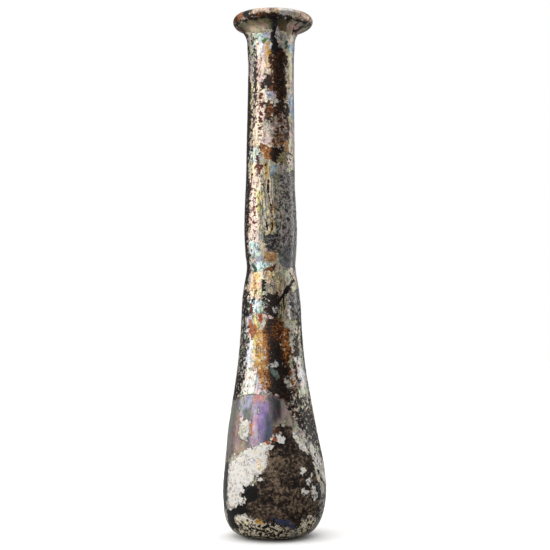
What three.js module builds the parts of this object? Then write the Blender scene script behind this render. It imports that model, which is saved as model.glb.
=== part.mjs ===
// A free-blown glass unguentarium: a small flask for scented oil, with a pear-shaped body, a tooled
// waist, a long neck and a splayed rim with a rolled lip. Blown from one gather, it is one solid with
// an open hollow. Millimetres, +Z up, standing on its foot at z = 0, with the belly's axis at x = y = 0.
import * as THREE from "three";

// Heights above the foot.
const HEIGHT = 139;
const BELLY_Z = 12.4;
const WAIST_Z = 70.8;
const RIM_Z = 137.5; // the lip's middle, where the rim is widest

// Outer radii.
const FOOT_R = 6.2;
const BELLY_R = 13.7;
const WAIST_R = 6.4;
const NECK_R = 6.1;
const RIM_R = 10.65;

// Glass thickness: heavy in the floor, thin in the belly, thicker again towards the lip.
const FLOOR_WALL = 3.2;
const BELLY_WALL = 1.5;
const WAIST_WALL = 1.35;
const NECK_WALL = 1.25;
const LIP_R = HEIGHT - RIM_Z; // radius of the roll that the lip is folded into

// Facets.
const FACETS_ROUND = 36;
const OUTER_STEPS = 58;
const INNER_STEPS = 28;
const LIP_STEPS = 6;

// Outer wall from the foot's edge to the crease under the lip, as [radius, height].
const OUTER_WALL = [
  [FOOT_R, 0],
  [9.1, 0.75],
  [10.8, 1.8],
  [11.95, 3.3],
  [12.7, 5],
  [13.3, 7.4],
  [BELLY_R, BELLY_Z],
  [13.35, 17],
  [12.8, 21],
  [11.5, 29.5],
  [10, 37.6],
  [8.65, 47],
  [7.95, 55.5],
  [7.65, 62],
  [7.1, 66.6],
  [WAIST_R, WAIST_Z],
  [6.72, 74.5],
  [6.97, 80],
  [6.85, 86.5],
  [6.5, 94],
  [6.35, 106],
  [NECK_R, 121],
  [6.15, 127.5],
  [6.3, 130.6],
  [6.45, 132.6],
  [6.95, 134],
  [7.8, 135.1],
  [8.75, 135.95],
  [9.4, 136.5],
];

// Inner wall from the lip down to the middle of the floor, as [radius, height].
const INNER_WALL = [
  [RIM_R - 2.6, HEIGHT - 0.35],
  [6.6, 136.9],
  [5.4, 134.2],
  [NECK_R - NECK_WALL, 127.5],
  [4.95, 113],
  [5.1, 96],
  [5.5, 81],
  [WAIST_R - WAIST_WALL, WAIST_Z],
  [5.75, 66],
  [6.3, 59.5],
  [7, 49.5],
  [8.3, 39.8],
  [10.05, 29.9],
  [11.6, 20],
  [BELLY_R - BELLY_WALL, BELLY_Z + 0.6],
  [11, 7.4],
  [8.3, 4.5],
  [4.5, FLOOR_WALL + 0.3],
  [0, FLOOR_WALL],
];

// How far the blown axis strays sideways from the belly's, as [height, offset along X].
const SWAY = [
  [0, -0.43],
  [BELLY_Z, 0],
  [17, -0.02],
  [30, -0.65],
  [45, -0.84],
  [66, -0.86],
  [92, -1.06],
  [126, -0.93],
  [134.5, -0.95],
  [RIM_Z, -0.43],
];
const RIM_TILT = 0.038; // rise of the rim for each millimetre along X
const TILT_Z = 127; // where the tilt starts
const OVAL = 0.012; // share by which the neck is wider along X than along Y

const smooth = (t) => t * t * (3 - 2 * t);

function lineThrough(stations, steps) {
  const points = stations.map(([r, z]) => new THREE.Vector3(r, z, 0));
  const curve = new THREE.CatmullRomCurve3(points, false, "centripetal");
  return curve.getSpacedPoints(steps).map((p) => new THREE.Vector2(Math.max(p.x, 0), p.y));
}

// The roll of the lip, from its underside round the widest point to its upper inner edge.
function lipRoll() {
  const middle = new THREE.Vector2(RIM_R - LIP_R, RIM_Z);
  const from = -0.28 * Math.PI;
  const to = 0.66 * Math.PI;
  const roll = [];
  for (let i = 0; i <= LIP_STEPS; i++) {
    const a = from + ((to - from) * i) / LIP_STEPS;
    roll.push(new THREE.Vector2(middle.x + LIP_R * Math.cos(a), middle.y + LIP_R * Math.sin(a)));
  }
  return roll;
}

function profile() {
  const outer = lineThrough(OUTER_WALL, OUTER_STEPS);
  outer[0].y = 0;
  const inner = lineThrough(INNER_WALL, INNER_STEPS);
  return [new THREE.Vector2(0, 0), ...outer.slice(0, -1), ...lipRoll(), ...inner];
}

function swayAt(z) {
  const i = SWAY.findIndex(([height]) => height >= z);
  if (i < 0) return SWAY.at(-1)[1];
  if (i === 0) return SWAY[0][1];
  const [z0, x0] = SWAY[i - 1];
  const [z1, x1] = SWAY[i];
  return x0 + (x1 - x0) * smooth((z - z0) / (z1 - z0));
}

// Turned on the axis first, then bent and made slightly oval, as a flask blown by hand is.
function vesselGeometry() {
  const geometry = new THREE.LatheGeometry(profile(), FACETS_ROUND).rotateX(Math.PI / 2);
  const place = geometry.getAttribute("position");
  for (let i = 0; i < place.count; i++) {
    const z = place.getZ(i);
    const oval = OVAL * smooth(Math.min(Math.max((z - BELLY_Z) / (WAIST_Z - BELLY_Z), 0), 1));
    const tilt = RIM_TILT * smooth(Math.min(Math.max((z - TILT_Z) / (RIM_Z - TILT_Z), 0), 1));
    const x = place.getX(i) * (1 + oval);
    place.setXYZ(i, x + swayAt(z), place.getY(i) * (1 - oval), z + tilt * x);
  }
  geometry.computeVertexNormals();
  return geometry;
}

const weatheredGlass = new THREE.MeshStandardMaterial({
  color: 0x8a7d6c,
  roughness: 0.35,
  metalness: 0.3,
});

const vessel = new THREE.Mesh(vesselGeometry(), weatheredGlass);
vessel.name = "glass_vessel";

const unguentarium = new THREE.Group();
unguentarium.add(vessel);

export default unguentarium;
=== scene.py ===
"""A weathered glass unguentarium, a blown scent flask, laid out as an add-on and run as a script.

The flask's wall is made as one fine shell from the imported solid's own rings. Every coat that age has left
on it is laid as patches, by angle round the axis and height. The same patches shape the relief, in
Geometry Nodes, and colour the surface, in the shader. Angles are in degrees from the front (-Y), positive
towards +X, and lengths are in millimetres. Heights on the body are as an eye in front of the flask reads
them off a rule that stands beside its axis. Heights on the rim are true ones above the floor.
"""

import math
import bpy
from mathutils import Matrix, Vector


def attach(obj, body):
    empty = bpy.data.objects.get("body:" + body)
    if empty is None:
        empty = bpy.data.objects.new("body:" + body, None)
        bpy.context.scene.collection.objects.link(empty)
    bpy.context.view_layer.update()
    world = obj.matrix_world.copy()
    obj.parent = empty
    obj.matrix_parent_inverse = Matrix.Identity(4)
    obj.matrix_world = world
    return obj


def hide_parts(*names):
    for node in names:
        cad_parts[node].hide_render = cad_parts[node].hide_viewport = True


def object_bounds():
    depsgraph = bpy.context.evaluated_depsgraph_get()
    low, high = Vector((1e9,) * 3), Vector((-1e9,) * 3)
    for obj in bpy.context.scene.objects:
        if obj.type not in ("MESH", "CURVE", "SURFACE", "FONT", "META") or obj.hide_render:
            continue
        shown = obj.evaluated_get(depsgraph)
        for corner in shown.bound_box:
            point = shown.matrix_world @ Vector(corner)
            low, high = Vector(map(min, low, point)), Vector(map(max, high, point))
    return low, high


bl_info = {
    "name": "Weathered Glass Unguentarium",
    "version": (1, 0, 0),
    "blender": (4, 5, 0),
    "location": "3D View > Sidebar > Unguentarium",
    "description": "Makes a blown glass scent flask with iridescent weathering, and the studio round it",
    "category": "Object",
}

from typing import NamedTuple

import bmesh
import bpy
import numpy as np
from bpy.props import FloatProperty, FloatVectorProperty, IntProperty, PointerProperty
from mathutils import Vector

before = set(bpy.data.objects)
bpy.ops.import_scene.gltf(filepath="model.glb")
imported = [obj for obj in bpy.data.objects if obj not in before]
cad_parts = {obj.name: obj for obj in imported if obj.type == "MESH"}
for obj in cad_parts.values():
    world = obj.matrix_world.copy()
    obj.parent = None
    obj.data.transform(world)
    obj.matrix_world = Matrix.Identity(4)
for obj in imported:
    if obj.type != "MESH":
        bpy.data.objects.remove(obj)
CAD_LOW, CAD_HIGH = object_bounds()
CAD_NODE = "glass_vessel"

MM = 0.001
EDGE = 0.05  # half the width of a coat's border, in millimetres
SHADE_LINE = 0.17  # half the width of the painted shadow line along a flake's edge, in millimetres
FAR = 6.0  # further from a coat's border than this, in millimetres, all is the same
RULE_MIDDLE = 70.0  # the height on the rule that the eye looks straight at
RIM_FOOT = 135.5  # the crease under the lip
BAND = 1.5  # half the height of the band whose girth a drawn shape is laid out on, in millimetres
FADE = 2.0  # width of the border over which an amount fades out, in millimetres
FILM_FADE = 0.5  # width over which one tint of the film or an accent turns into the next
GLASS_FADE = 2.4  # the same for the glass
HEIGHT = (CAD_HIGH.z - CAD_LOW.z) / MM


def linear(code):
    """The linear red, green and blue of a colour written as six hexadecimal digits."""
    channels = [int(code[i : i + 2], 16) / 255 for i in (0, 2, 4)]
    return tuple(c / 12.92 if c <= 0.04045 else ((c + 0.055) / 1.055) ** 2.4 for c in channels)


# ---------------------------------------------------------------------------------------------
# Where each coat lies
# ---------------------------------------------------------------------------------------------


class Patch(NamedTuple):
    """A rounded patch on the wall: its middle, its half sizes, and how square it is."""

    angle: float
    height: float
    half_angle: float
    half_height: float
    square: float = 2.0  # 2 is an ellipse, and more is squarer


class Flake(NamedTuple):
    """An angular patch, given by its corners as pairs of angle and height."""

    corners: tuple
    colour: str = "pearl"


class Stroke(NamedTuple):
    """A line drawn on the wall through pairs of angle and height."""

    points: tuple
    width: float


def pairs(numbers):
    return tuple(zip(numbers[::2], numbers[1::2]))


def flake(*corners):
    return Flake(pairs(corners))


def tinted(colour, *corners):
    return Flake(pairs(corners), colour)


def stroke(width, *points):
    return Stroke(pairs(points), width)


# Pearly film, by tint. It is under everything else.
FILM = [
    tinted("ash", -62, 134.6, -47, 134.8, -46, 126, -60, 125.5),
    tinted("butter", -59, 122, -48, 122, -47, 104, -60, 104),
    tinted("blush", -48, 129.5, -30, 129, -12, 128, -6, 119, -4, 112, -6, 104.6, -46, 104.6, -48, 112),
    tinted("ice", -52, 135, -18, 135, -15, 131, -50, 130),
    tinted("white", -40, 132, -18, 132, -15, 129, -40, 128),
    tinted("peach", -15, 129, 1, 128.5, 3, 125.4, -12, 125.2),
    tinted("salmon", -12, 121.7, 3, 121.4, 4, 119.3, -10, 119.5),
    tinted("bone", 36, 130, 53, 130, 55, 116, 38, 115),
    tinted("azure", 44, 118.6, 74, 118, 76, 112.3, 56, 112.8, 46, 115),
    tinted("steel", 72, 131, 86, 131.6, 98, 124, 88, 113, 74, 114),
    tinted("white", 52, 111, 98, 112, 98, 100, 58, 101),
    tinted("mist", 19, 135.2, 36, 135.4, 41, 131, 30, 130, 21, 130.3),
    tinted("iris", -12, 119.6, 11, 119.4, 11, 116.8, -10, 116.8),
    tinted("fog", -16, 112, 4, 112, 5, 104.8, -12, 104.6),
    tinted("clay", 4, 112.6, 66, 112.2, 66, 103.8, 5, 103.8),
    tinted("bone", 46, 106.5, 80, 106.5, 78, 100.3, 50, 100.8),
    tinted("ice", -58, 105, -24, 102.6, -22, 100.5, -40, 100.2, -58, 100),
    tinted("cream", -63, 100.2, -38, 100.2, -36, 95.6, -62, 95.6),
    tinted("gold", -17, 99.9, -5, 99.5, -3, 95, -10, 94.8, -17, 96.3),
    tinted("azure", -1, 99.2, 12, 99, 14, 96.3, 0, 96),
    tinted("mist", 32, 98.2, 52, 98, 56, 95, 36, 95),
    tinted("blush", -60, 96, -22, 96, -19, 87, -26, 78.6, -60, 79),
    tinted("lime", -31, 92.5, -20, 92.5, -19, 87, -31, 86.8),
    tinted("steel", -20, 91, -15, 95, -9, 94, -9, 88, -12, 80, -26, 79, -26, 83, -21, 86),
    tinted("sky", -16, 88, -9, 88, -9, 82, -14, 82),
    tinted("bone", -9, 91.5, 0, 90.5, 1, 80.7, -9, 80.8),
    tinted("gold", 0, 90.5, 7, 90, 8, 84, 6, 80.3, 0, 80.7),
    tinted("ice", -62, 79, -28, 78.6, -24, 75, -45, 74.3, -60, 74.8),
    tinted("iris", -39, 75.4, -16, 75.1, -17, 73.2, -39, 73.4),
    tinted("ice", -44, 73.7, 3, 74.2, 3, 71.8, -15, 71.3, -46, 71),
    tinted("cream", -52, 71, -15, 71, -14, 64, -50, 63.8),
    tinted("peach", -46, 70.8, -27, 70.6, -30, 67, -25, 65.6, -36, 64.4, -45, 66),
    tinted("stone", -15, 71.2, 14, 71.2, 14, 68, 8, 65, -14, 64.8),
    tinted("tan", -12, 71.2, 4, 71.2, 2, 69, -8, 68),
    tinted("stone", -5, 69.6, 6, 69.6, 7, 65.7, -4, 65.7),
    tinted("sage", 14, 70.5, 23, 70.5, 23, 64.5, 12, 65),
    tinted("bone", 22, 71.4, 75, 71.5, 75, 65.5, 24, 66.4),
    tinted("ice", -54, 64, -14, 62.9, -15, 60, -52, 59.8),
    tinted("teal", -24, 61.5, -8, 61.2, -8, 59.5, -22, 59.6),
    tinted("lime", -37, 60, -22, 57.2, -24, 53, -29, 46, -36, 46),
    tinted("sage", 13, 64.5, 29, 64, 30, 56, 14, 57),
    tinted("silver", -59, 59.5, -37, 59, -34, 53, -31, 45, -58, 45),
    tinted("gold", -30, 56, -12, 56, -11, 41, -24, 42, -31, 46),
    tinted("chalk", -62, 45, -24, 44.8, -19, 42, -13, 38, -60, 37.8),
    tinted("bone", 26, 58.6, 80, 58.6, 80, 47, 84, 38, 26, 37.8, 26, 45),
    tinted("white", 42, 50, 62, 49.5, 60, 46, 42, 46.6),
    tinted("silver", 42, 47, 80, 46, 78, 39.6, 44, 41),
    tinted("bone", 36, 38, 88, 38.6, 104, 34, 92, 31, 42, 32),
    tinted("ash", 64, 17, 90, 15.5, 86, 4, 56, 4),
    tinted("blush", 72, 20, 84, 21.4, 98, 19, 94, 15, 98, 11, 76, 13),
    tinted("ash", -98, 20, -64, 20, -62, 7, -94, 8, -108, 14),
    tinted("rose", -128, 100, -100, 104, -96, 78, -124, 74),
    tinted("azure", 140, 116, 170, 112, 168, 92, 138, 96),
    tinted("bone", 100, 98, 136, 92, 132, 62, 98, 66),
    tinted("cream", -178, 76, -146, 80, -142, 52, -176, 48),
    tinted("sage", -136, 40, -100, 44, -98, 24, -134, 22),
    tinted("blush", -172, 132, -140, 130, -134, 118, -142, 104, -168, 98, -178, 112),
    tinted("cream", 120, 132, 150, 134, 158, 120, 150, 108, 126, 106, 116, 120),
    tinted("silver", 146, 92, 178, 96, 190, 80, 178, 64, 152, 60, 158, 76),
    tinted("butter", -172, 64, -156, 68, -150, 54, -158, 40, -174, 44, -166, 54),
    tinted("white", 146, 58, 172, 62, 186, 48, 176, 34, 150, 36, 160, 46),
    tinted("ice", 106, 30, 118, 36, 134, 34, 146, 38, 152, 30, 146, 22, 128, 19, 112, 20),
    tinted("blush", 160, 30, 186, 33, 196, 24, 186, 14, 164, 18, 172, 24),
]
# Smooth glass, where the film has sprung off in sheets.
GLASS = [
    tinted("stone", -104, 31, -98, 35.4, -92, 33, -84, 37.2, -53, 37.6, -52, 31, -54, 22.4, -70, 20.4,
           -80, 23, -86, 21, -98, 23.6, -94, 27),
    tinted("adobe", -56, 33.5, -48, 32, -46, 26.4, -36, 26, -32, 23.4, -52, 21.5, -56, 26),
    tinted("ash", -54, 37.6, -44, 37.8, -44, 32, -50, 32),
    tinted("iris", -45, 37.8, -28, 37.9, -28, 34.4, -42, 33.6),
    tinted("slate", -44, 34.4, -28, 34.8, -27, 30.8, -40, 30.8),
    tinted("slate", -34, 30, -26, 27, -28, 23.8, -36, 24),
    tinted("pink", -28, 37.9, -6, 37.9, -12, 35, -28, 33.6),
    tinted("lilac", -28, 34.4, -19, 36, -16, 24.8, -28, 24),
    tinted("violet", -20, 36, -4, 36.4, -4, 31, -10, 25.2, -18, 24.6),
    tinted("navy", -9, 33, 2, 33, 1, 26.8, -4, 25.4, -12, 25.2),
    tinted("adobe", -6, 37.9, 30, 37.9, 15, 30.3, 4, 29, 0, 31),
    tinted("dusk", -5, 37.9, 8, 37.9, 8, 30, 0, 30),
    tinted("coal", -96, 19, -88, 21.4, -80, 19.2, -72, 20.6, -66, 19.8, -64, 14, -67, 7.4, -78, 8.8,
           -84, 6.4, -93, 8.4, -89, 12, -97, 15),
    tinted("coal", 2, 37.2, 17, 37.2, 14, 31.4, 4, 31.6),
    tinted("clay", 16, 36.4, 25, 35, 32, 29.4, 24, 29, 16, 30.4),
    tinted("slate", 14, 96.5, 44, 97, 86, 99, 102, 92, 94, 82, 102, 75, 88, 71.6, 36, 71.6, 18, 74,
           12, 82, 8, 90),
    tinted("iron", 36, 79, 62, 78.5, 60, 72, 40, 71.8, 24, 74.6),
    tinted("ash", 68, 97, 88, 97, 98, 90, 90, 73, 72, 73, 64, 84),
    tinted("coal", -14, 80.8, 16, 81, 20, 75.6, -8, 76.4),
    tinted("stone", 36, 65, 86, 66.4, 104, 62, 90, 58.4, 40, 58),
    tinted("sage", 7, 97, 26, 96.8, 24, 84, 12, 84),
    tinted("stone", 160, 130, 170, 128, 176, 134, 186, 127, 194, 128, 188, 121, 191, 114, 180, 113,
           177, 104, 170, 110, 162, 112, 166, 120),
    tinted("slate", -170, 34, -158, 30, -150, 36.5, -137, 36, -128, 30, -135, 26, -124, 22, -132, 15,
           -146, 18, -160, 15, -166, 21, -161, 27),
    tinted("stone", 92, 60, 102, 57, 110, 59.6, 118, 54, 113, 50, 122, 44, 116, 40, 108, 44, 96, 42,
           100, 50),
    tinted("slate", -143, 122, -134, 121, -128, 128, -122, 122, -112, 121, -118, 116, -112, 110,
           -124, 111, -126, 104, -138, 109, -136, 116),
]
RIM_GLASS = [
    tinted("olive", -78, 136.4, 0, 136.5, 2, 134, -30, 133.6, -50, 133.8, -74, 134),
    # The cream band low on the lip's underside is a painted highlight, where the underside catches light
    # from below.
    tinted("cream", -52, 134.9, -10, 134.7, -8, 133.4, -30, 133.2, -50, 133.6),
    tinted("jet", 0, 136.4, 15, 136.4, 13, 133.8, 1, 133.4),
    tinted("bronze", 14, 136.4, 33, 136.4, 36, 133.8, 14, 133.8),
    tinted("beige", 33, 136.4, 90, 136.4, 90, 133.6, 40, 133),
    tinted("olive", 95, 136.4, 250, 136.4, 250, 133, 95, 133),
]
RIM_FILM = [
    tinted("beige", 24, 139.4, 90, 139.4, 90, 136.2, 34, 136.2),
    tinted("beige", -90, 139.4, 26, 139.4, 30, 136.2, -90, 136.2),
    tinted("clay", 110, 139.4, 190, 139.4, 190, 136.2, 110, 136.2),
]
# Brown enamel: thick dark weathering, left in columns and blotches.
ENAMEL = [
    flake(2, 130.4, 16, 131, 40, 129.6, 43, 126, 41, 121, 44, 118.4, 38, 116, 40, 112.6, 24, 113, 4, 112,
          4, 116.6, 11, 117.2, 12, 119.2, 3, 119.8),
    flake(-3, 129, 4, 131, 6, 124, 4, 119.6, -3, 120),
    flake(-21, 122, -15, 123.8, 4, 123.6, 4, 119.6, -8, 119.4, -19, 119.8),
    flake(-17, 115.4, -6, 116.6, 6, 116.6, 4, 110.6, -8, 110.8, -15, 112.4),
    flake(40, 116, 50, 115, 52, 113, 38, 112),
    flake(8, 107.8, 44, 108, 46, 104.6, 8, 104.2),
    flake(-30, 104.6, -20, 105.2, 0, 104, 26, 105.4, 44, 105, 46, 101, 30, 99.6, 0, 100.6, -16, 100.9,
          -20, 102.4),
    flake(-15, 72.3, 8, 72.6, 7, 71.1, -15, 71.1),
    flake(-9, 65, 12, 65.4, 17, 62, 13, 58.6, -5, 58.4, -10, 61),
    flake(-8, 59, 14, 59, 22, 56.4, 35, 55.4, 37, 50, 34, 47, 37, 42, 45, 39.8, 40, 37.9, 30, 36, 0, 38.3,
          -16, 40, -13, 43, -14, 46, -12, 49, -15, 52, -18, 54.4, -14, 56.2),
    flake(-20, 43, -15, 43.6, -14, 46, -18, 47, -22, 45),
    flake(18, 38.4, 42, 38.6, 46, 36, 34, 34.2, 30, 31, 22, 35),
    flake(33, 33.4, 44, 34, 48, 31, 36, 28.8),
    flake(48, 54, 60, 54.6, 58, 48.4, 44, 48),
    Patch(44, 44, 4, 3),
    Patch(62, 57.5, 8, 2.2),
    # The next four flakes lie as a wide dark band round the flask's left side, from about -116 to -52
    # degrees and 36 to 134 mm high.
    flake(-104, 67, -60, 66, -54, 65, -52, 61, -57, 59.5, -58, 56, -54, 52, -53, 48, -55, 44, -50, 40,
          -53, 37.8, -98, 36, -114, 43, -100, 50, -116, 60),
    flake(-100, 82, -60, 80, -57, 75, -58, 70, -62, 66.4, -104, 66.6, -94, 74),
    flake(-100, 133.6, -72, 133.2, -71, 130, -77, 127.6, -98, 128),
    flake(-96, 124, -60, 122, -56, 116, -57, 108, -56, 103, -62, 101, -68, 99, -62, 97, -53, 95, -52, 88,
          -55, 84, -60, 80, -98, 81, -112, 89, -98, 96, -110, 105, -100, 114),
    flake(70, 62, 78, 60.4, 84, 63, 94, 61, 89, 55, 95, 50, 87, 46, 93, 40, 86, 35, 76, 37, 79, 42, 71, 46,
          74, 50, 66, 52, 72, 57),
    flake(44, 33, 64, 34, 78, 31, 96, 28, 92, 19, 62, 24, 46, 26, 34, 29.6),
    flake(104, 84, 122, 80, 130, 60, 118, 44, 106, 50, 100, 66),
    flake(-150, 118, -128, 112, -124, 96, -138, 90, -154, 98),
    flake(172, 104, 196, 100, 198, 84, 178, 80, 168, 92),
    flake(-118, 62, -100, 58, -98, 44, -110, 34, -124, 44),
    flake(150, 66, 168, 62, 172, 46, 158, 40, 148, 52),
]
RIM_ENAMEL = [
    flake(-96, 138.9, -54, 139.2, -48, 137.6, -54, 136.3, -96, 136.2),
    flake(-46, 139.2, -26, 139.3, -24, 138.4, -44, 137.8),
    flake(-42, 137.5, 2, 137.7, 10, 137.1, 28, 137, 34, 136.1, -42, 136.1),
    flake(-96, 136.2, -72, 136.2, -66, 133, -96, 132),
    flake(62, 136.3, 82, 136.3, 74, 134, 62, 134.4),
    flake(120, 138.8, 176, 138.9, 186, 137, 116, 136.4),
]
# Burial earth: brown and granular, caked on the belly.
EARTH = [
    flake(-7, 24.6, 2, 27, 7, 30.3, 17, 30, 26, 29.3, 29, 27.4, 33, 25, 39, 23.4, 50, 21.8, 53, 19.4,
          53, 16.4, 54, 13.4, 56, 10, 60, 7.4, 62, 5.2, 44, 5, 38, 4.6, 30, 1.8, 12, 2.8, -4, 3.6,
          -16, 4.4, -29, 5.4, -34, 7, -34, 9, -30, 13, -23, 14.6, -18, 16.4, -11, 18, -8, 19.4,
          -7, 22.6),
    flake(98, 3, 95, 10, 103, 16, 112, 14.6, 119, 19, 134, 17, 141, 12, 156, 11, 159, 4, 140, 1, 112, 0.5),
    flake(-177, 3, -174, 9, -165, 13, -158, 11, -148, 15.4, -137, 12, -131, 7, -128, 2, -150, 0.5),
]
# Tar-dark smooth film round the crust's foot.
PITCH = [
    flake(-2, 134.4, 4, 136.4, 10, 136.2, 13, 133.6, 20, 131.6, 20, 129.4, 2, 129.6, -1, 131.6),
    flake(-36, 14.4, -30, 14, -24, 14.2, -17, 12.6, -18, 10.4, -26, 9.2, -36, 9.2, -40, 11),
    flake(-66, 7.4, -52, 8, -42, 8.9, -30, 9.2, -32, 6.4, -40, 5.8, -50, 5.4, -49, 3.6, -46, 1.8,
          -72, 2.4),
    flake(54, 15.4, 60, 14, 62, 11, 56, 9, 52, 12),
]
# Chalky crust: pale, pitted and flaking.
CRUST = [
    flake(-62, 19.6, -55, 20.3, -45, 21.3, -37, 22.5, -31, 23.7, -23, 23.9, -16, 25.1, -8, 24.9,
          -2, 25.6, 0, 24.4, -3, 23, -8, 22.6, -7, 20.6, -9, 19, -12.5, 18, -13.5, 17, -19.5, 16.3,
          -22, 15.3, -24, 14, -29, 13.8, -36, 14.1, -35, 12.6, -38, 11.2, -33, 10, -33.5, 8.9, -41, 8.8,
          -51, 8, -60, 7.3, -61, 12, -62, 16),
    flake(-20, 15.5, -14, 15.7, -13, 15.2, -19, 15),
    flake(-46, 30, -40, 31.3, -33, 31.2, -29, 29.6, -31, 27, -34, 26, -43, 26, -48, 27.6),
    flake(-50, 5.2, -42, 5.9, -32, 5.7, -24, 4.8, -12, 4.2, -3, 3.6, 10, 2.8, 24, 1.4, 22, -1, -60, -1,
          -47, 2.4),
    flake(26, 2.2, 35, 4.8, 46, 5.6, 60, 5, 58, 3, 38, 0.4),
    flake(25, 28.6, 29, 28.2, 38, 25.6, 44, 23.4, 44, 22.4, 38, 22.9, 32, 24.2, 28, 26.6),
    flake(47, 24.9, 53, 24.8, 72, 20.4, 76, 18, 60, 18, 56, 19.4, 50, 22.2),
    flake(60, 18.6, 78, 17.6, 84, 14, 72, 14.2, 64, 15.8),
    flake(4, 27.8, 10, 28.4, 14, 26, 12, 25, 4, 25.6),
    flake(29, 16.6, 30, 18, 35, 18.8, 36, 17.8, 32, 16.4),
    flake(36, 14, 38, 15.6, 42, 14.8, 41, 13.4),
    flake(31, 12.8, 34, 13, 42, 12.2, 38, 11, 33, 11.3),
    flake(43, 17.4, 47, 17, 45, 13.4, 50, 14, 53, 11, 48, 10, 44, 12),
    flake(34, 62, 38, 62.6, 39, 58, 35, 57.6),
    flake(104, 25, 109, 30, 116, 28, 122, 33, 131, 30.6, 135, 33, 141, 28, 134, 25, 136, 20.6, 124, 23,
          117, 19.6, 112, 23),
    flake(118, 17.6, 123, 19, 130, 17, 124, 15.6),
    flake(-176, 34, -168, 38, -160, 35, -163, 30, -172, 29),
    flake(-150, 50, -132, 54, -128, 42, -146, 40),
    flake(-116, 14, -110, 19, -103, 17.4, -98, 20.6, -95, 16, -99, 11, -97, 6.6, -106, 5.4, -112, 9),
]
# Small touches of strong colour, over everything but the cracks.
ACCENTS = [
    tinted("fern", -20, 133.5, -8, 133.3, -7, 131.6, -18, 131.6),
    tinted("gold", -17, 132.3, -6, 132.3, -6, 129.4, -15, 129.3),
    tinted("iris", -16, 134.8, -2, 134.6, -4, 133.5, -14, 133.5),
    tinted("forest", 38, 132.4, 51, 131.6, 48, 129.9, 36, 130.2),
    tinted("azure", 53, 131.5, 68, 131.5, 68, 129.5, 53, 129.7),
    tinted("ash", 8, 116.4, 11, 117.4, 14, 116.2, 11, 115.4),
    tinted("tan", 36, 105.4, 46, 105.6, 45, 103, 37, 103.2),
    tinted("olive", 20, 103, 44, 102.8, 42, 99.8, 22, 100.2),
    tinted("tan", -15, 76.4, 13, 75.9, 11, 73.6, -14, 73.5),
    tinted("forest", -51, 73.1, -36, 72.6, -38, 70.8, -50, 70.8),
    tinted("copper", -48, 57.6, -44, 58.2, -40, 57.6, -29, 56.9, -28, 55, -34, 53.1, -42, 53.2, -48, 54.6),
    tinted("ember", -26, 59.3, -12, 59.6, -16, 58.5, -19, 57.3, -24, 57.6),
    tinted("soot", -66, 60.4, -50, 60.6, -48, 58.8, -64, 58),
    tinted("soot", -64, 63.6, -52, 63.6, -51, 61.4, -62, 61),
    tinted("chestnut", -47, 63, -40, 62.7, -38, 59.8, -44, 60),
    tinted("verdigris", 1, 44.6, 12, 44.5, 11, 42.4, 2, 42.6),
    tinted("ash", 2, 45.6, 8, 46.8, 7, 45.8),
    tinted("ash", 5, 61.4, 9, 61.7, 9, 60.9, 6, 60.5),
    tinted("chestnut", 4, 29.7, 9, 29.9, 8, 27.4, 3, 27.3),
    tinted("ember", -9, 25.4, -3, 25.3, -3, 24.5, -9, 24.7),
    tinted("ember", 0, 26.9, 4, 26.6, 3, 25.7, 0, 25.9),
    tinted("iris", -28, 20.9, -23, 20.5, -22, 19.9, -26, 20.3),
    tinted("gold", -20, 4.5, -15, 4.3, -14, 3.5, -19, 3.6),
    tinted("navy", -1, 5, 12, 5, 24, 3.6, 30, 2.4, 16, 2.8),
    tinted("salmon", -30, 30.6, -26, 30, -26, 27.3, -29, 27.1),
    tinted("bone", -46, 28.4, -41, 30.6, -36, 29.6, -38, 27.4, -42, 26.2),
    tinted("cream", -20, 20.4, -15, 20.8, -14, 17.6, -19, 17.6),
    tinted("copper", 140, 88, 148, 90, 146, 84, 139, 83),
    tinted("amber", -112, 72, -104, 74, -104, 67, -111, 66),
]
RIM_ACCENTS = [
    tinted("ash", 8, 138.7, 28, 138.6, 31, 137.3, 10, 137.1),
    tinted("copper", -64, 138.9, -50, 139, -48, 137, -60, 136.8),
    tinted("beige", -30, 139, -14, 139, -12, 138, -28, 137.6),
    tinted("soot", -48, 138.8, -34, 138.8, -35, 136.8, -47, 136.7),
    tinted("soot", -4, 139.4, 7, 139.4, 7, 138.5, -4, 138.5),
]
# Cracks and folds, dark and sunk.
CRACKS = [
    stroke(0.7, 14, 62.6, 21, 64, 27, 65.4, 34, 66.2, 44, 67.4, 58, 68.6),
    stroke(1.5, 30, 65.6, 38, 66.6),
    stroke(0.5, 27, 65.4, 24, 63, 26, 61),
    stroke(0.3, -4, 96, -5, 93, -3, 90.6, 2, 88, 4, 85, 3, 82),
    stroke(0.25, -9, 84, -7, 82.6, -8, 81),
    stroke(0.25, -12, 99.8, -11, 98, -12, 97),
    stroke(0.35, 40, 60.6, 52, 60, 64, 58.4, 78, 56.6),
    stroke(0.35, 46, 59.4, 58, 58.6, 70, 60.6),
    stroke(0.4, 80, 46, 82, 42, 84, 38),
    stroke(0.4, -66, 44, -61, 42.6, -55, 41),
    stroke(0.45, 42, 25.6, 47, 23.4, 49, 21.6),
    stroke(0.55, 58, 17.8, 64, 15.5, 74, 14, 80, 12),
    stroke(0.35, 60, 134, 50, 136.6, 46, 138.6),
    stroke(0.4, 120, 70, 126, 62, 122, 56, 130, 50),
    stroke(0.4, -140, 90, -134, 84, -138, 78),
]
RIM_CRACKS = [stroke(0.42, *(n for a in range(-180, 181, 20) for n in (a, 136.15)))]


class Share(NamedTuple):
    """How much of something there is within a rounded patch, fading out over its border."""

    amount: float
    angle: float
    height: float
    half_angle: float
    half_height: float
    square: float = 2.0


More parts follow.
